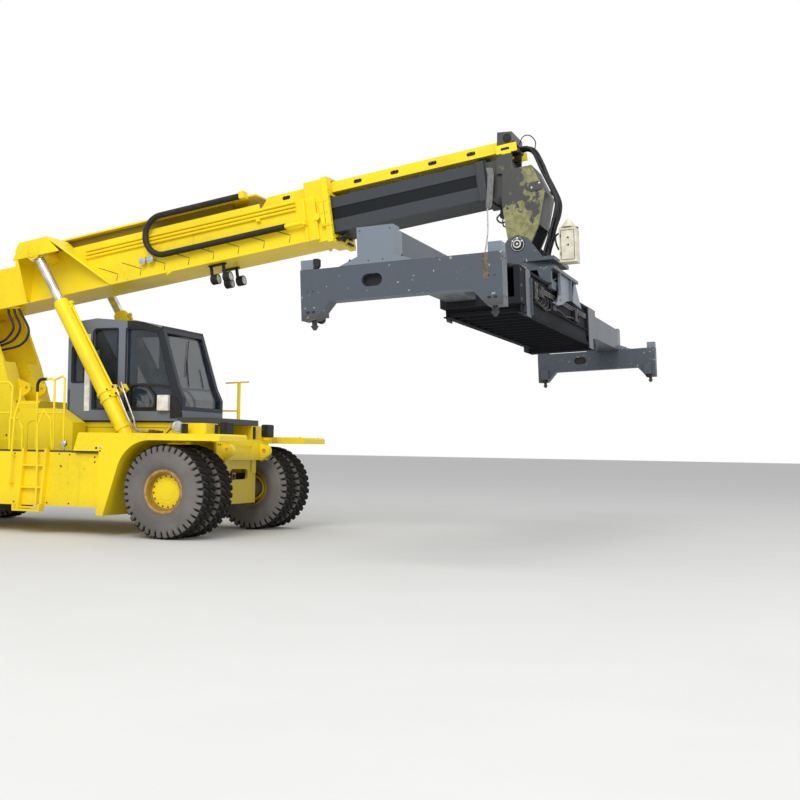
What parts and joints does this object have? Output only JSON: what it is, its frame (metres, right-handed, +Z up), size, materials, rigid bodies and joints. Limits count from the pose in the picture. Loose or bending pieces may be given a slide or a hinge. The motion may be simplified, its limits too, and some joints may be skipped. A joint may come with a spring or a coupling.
{
  "type": "container reach stacker",
  "caption": "Four-wheeled container handler with a rear-pivoted telescopic boom, lift cylinders beside the cab and a turning, telescoping top-lift spreader.",
  "frame": {"origin": "on the ground under the middle of the overall length, on the centre plane", "axes": "+X forward along the boom, +Y to the driver's left along the spreader, +Z up"},
  "size_m": [14.6678, 12.197, 6.8298],
  "materials": {
    "yellow_paint": "gloss",
    "spreader_paint": "worn",
    "boom_dark_paint": "worn",
    "dark_steel": "satin",
    "cab_grey": "satin",
    "cast_grey": "rough",
    "pin_steel": "satin",
    "rod_chrome": "polished",
    "tyre": "dusty",
    "window_glass": "tinted",
    "seat_fabric": "matt",
    "black_plastic": "matt",
    "hose_rubber": "matt",
    "lamp_metal": "polished",
    "cream_plastic": "matt"
  },
  "bodies": {
    "chassis": {"chassis_frame": "yellow_paint", "boom_tower": "yellow_paint", "pivot_pins": "pin_steel", "front_fenders": "yellow_paint", "side_boxes": "yellow_paint", "side_decks": "dark_steel", "drive_axle": "cast_grey", "steer_axle": "cast_grey", "counterweight": "yellow_paint", "engine_block": "cast_grey", "engine_hood": "yellow_paint", "exhaust_stack": "dark_steel", "cab_shell": "cab_grey", "cab_base": "dark_steel", "cab_windows": "window_glass", "operator_seat": "seat_fabric", "cab_controls": "black_plastic", "access_rails": "yellow_paint", "head_lamps": "lamp_metal"},
    "cab_door_body": {"cab_door": "cab_grey", "cab_door_glass": "window_glass"},
    "drive_left": {"drive_tyres_left": "tyre", "drive_rims_left": "yellow_paint"},
    "drive_right": {"drive_tyres_right": "tyre", "drive_rims_right": "yellow_paint"},
    "knuckle_left": {"steer_knuckle_left": "cast_grey"},
    "knuckle_right": {"steer_knuckle_right": "cast_grey"},
    "steer_left": {"steer_tyre_left": "tyre", "steer_rim_left": "yellow_paint"},
    "steer_right": {"steer_tyre_right": "tyre", "steer_rim_right": "yellow_paint"},
    "boom": {"boom_outer": "yellow_paint", "boom_pipes": "yellow_paint", "boom_lamps": "lamp_metal", "boom_hose": "hose_rubber"},
    "barrel_left": {"lift_barrel_left": "yellow_paint"},
    "barrel_right": {"lift_barrel_right": "yellow_paint"},
    "rod_left": {"lift_rod_left": "rod_chrome"},
    "rod_right": {"lift_rod_right": "rod_chrome"},
    "boom_front": {"boom_inner": "boom_dark_paint", "hose_tray": "yellow_paint", "boom_head": "boom_dark_paint"},
    "yoke": {"suspension_yoke": "spreader_paint", "beacon_box": "cream_plastic"},
    "slew": {"slew_frame": "spreader_paint", "slew_motors": "black_plastic"},
    "spreader": {"spreader_main": "spreader_paint"},
    "end_left": {"spreader_end_left": "spreader_paint", "locks_left": "dark_steel"},
    "end_right": {"spreader_end_right": "spreader_paint", "locks_right": "dark_steel"}
  },
  "joints": [
    {"name": "drive_wheels_left", "type": "hinge", "parent": "chassis", "child": "drive_left", "pos_m": [0.41613, 1.545, 0.795], "axis": [0, 1, 0], "continuous": true},
    {"name": "drive_wheels_right", "type": "hinge", "parent": "chassis", "child": "drive_right", "pos_m": [0.41613, -1.545, 0.795], "axis": [0, 1, 0], "continuous": true},
    {"name": "steering_left", "type": "hinge", "parent": "chassis", "child": "knuckle_left", "pos_m": [-5.58387, 1.08, 0.795], "axis": [0, 0, 1], "range_deg": [-40, 40]},
    {"name": "steer_wheel_left", "type": "hinge", "parent": "knuckle_left", "child": "steer_left", "pos_m": [-5.58387, 1.41, 0.795], "axis": [0, 1, 0], "continuous": true},
    {"name": "steering_right", "type": "hinge", "parent": "chassis", "child": "knuckle_right", "pos_m": [-5.58387, -1.08, 0.795], "axis": [0, 0, 1], "range_deg": [-40, 40]},
    {"name": "steer_wheel_right", "type": "hinge", "parent": "knuckle_right", "child": "steer_right", "pos_m": [-5.58387, -1.41, 0.795], "axis": [0, 1, 0], "continuous": true},
    {"name": "cab_door_hinge", "type": "hinge", "parent": "chassis", "child": "cab_door_body", "pos_m": [-2.51787, 0.344, 2.8], "axis": [0, 0, -1], "range_deg": [0, 85]},
    {"name": "boom_lift", "type": "hinge", "parent": "chassis", "child": "boom", "pos_m": [-5.78387, 0, 4.33], "axis": [0, 1, 0], "range_deg": [-51.2, 8]},
    {"name": "boom_telescope", "type": "slide", "parent": "boom", "child": "boom_front", "axis": [0.9882, 0, 0.153], "range_m": [-2.6, 3]},
    {"name": "spreader_pendulum", "type": "hinge", "parent": "boom_front", "child": "yoke", "pos_m": [5.98639, 0, 4.93986], "axis": [0, -1, 0], "range_deg": [-55, 12]},
    {"name": "spreader_slew", "type": "hinge", "parent": "yoke", "child": "slew", "pos_m": [6.00837, 0, 4.52044], "axis": [0.0523, 0, -0.9986], "range_deg": [-195, 105]},
    {"name": "spreader_side_shift", "type": "slide", "parent": "slew", "child": "spreader", "axis": [0, 1, 0], "range_m": [-0.8, 0.8]},
    {"name": "telescope_left", "type": "slide", "parent": "spreader", "child": "end_left", "axis": [0, 1, 0], "range_m": [-3.066, 0]},
    {"name": "telescope_right", "type": "slide", "parent": "spreader", "child": "end_right", "axis": [0, -1, 0], "range_m": [-3.066, 0]},
    {"name": "lift_barrel_hinge_left", "type": "hinge", "parent": "chassis", "child": "barrel_left", "pos_m": [-0.58387, 0.95, 1], "axis": [0, 1, 0], "range_deg": [-2, 2]},
    {"name": "lift_rod_slide_left", "type": "slide", "parent": "barrel_left", "child": "rod_left", "axis": [-0.5214, 0, 0.8533], "range_m": [-0.4, 2.47]},
    {"name": "lift_barrel_hinge_right", "type": "hinge", "parent": "chassis", "child": "barrel_right", "pos_m": [-0.58387, -0.95, 1], "axis": [0, 1, 0], "range_deg": [-2, 2]},
    {"name": "lift_rod_slide_right", "type": "slide", "parent": "barrel_right", "child": "rod_right", "axis": [-0.5214, 0, 0.8533], "range_m": [-0.4, 2.47]}
  ],
  "couplings": [
    {"joint": "steering_right", "follows": "steering_left", "ratio": 1},
    {"joint": "lift_barrel_hinge_left", "follows": "boom_lift", "ratio": 0.03},
    {"joint": "lift_rod_slide_left", "follows": "boom_lift", "m_per_rad": -2.75},
    {"joint": "lift_barrel_hinge_right", "follows": "boom_lift", "ratio": 0.03},
    {"joint": "lift_rod_slide_right", "follows": "boom_lift", "m_per_rad": -2.75}
  ]
}
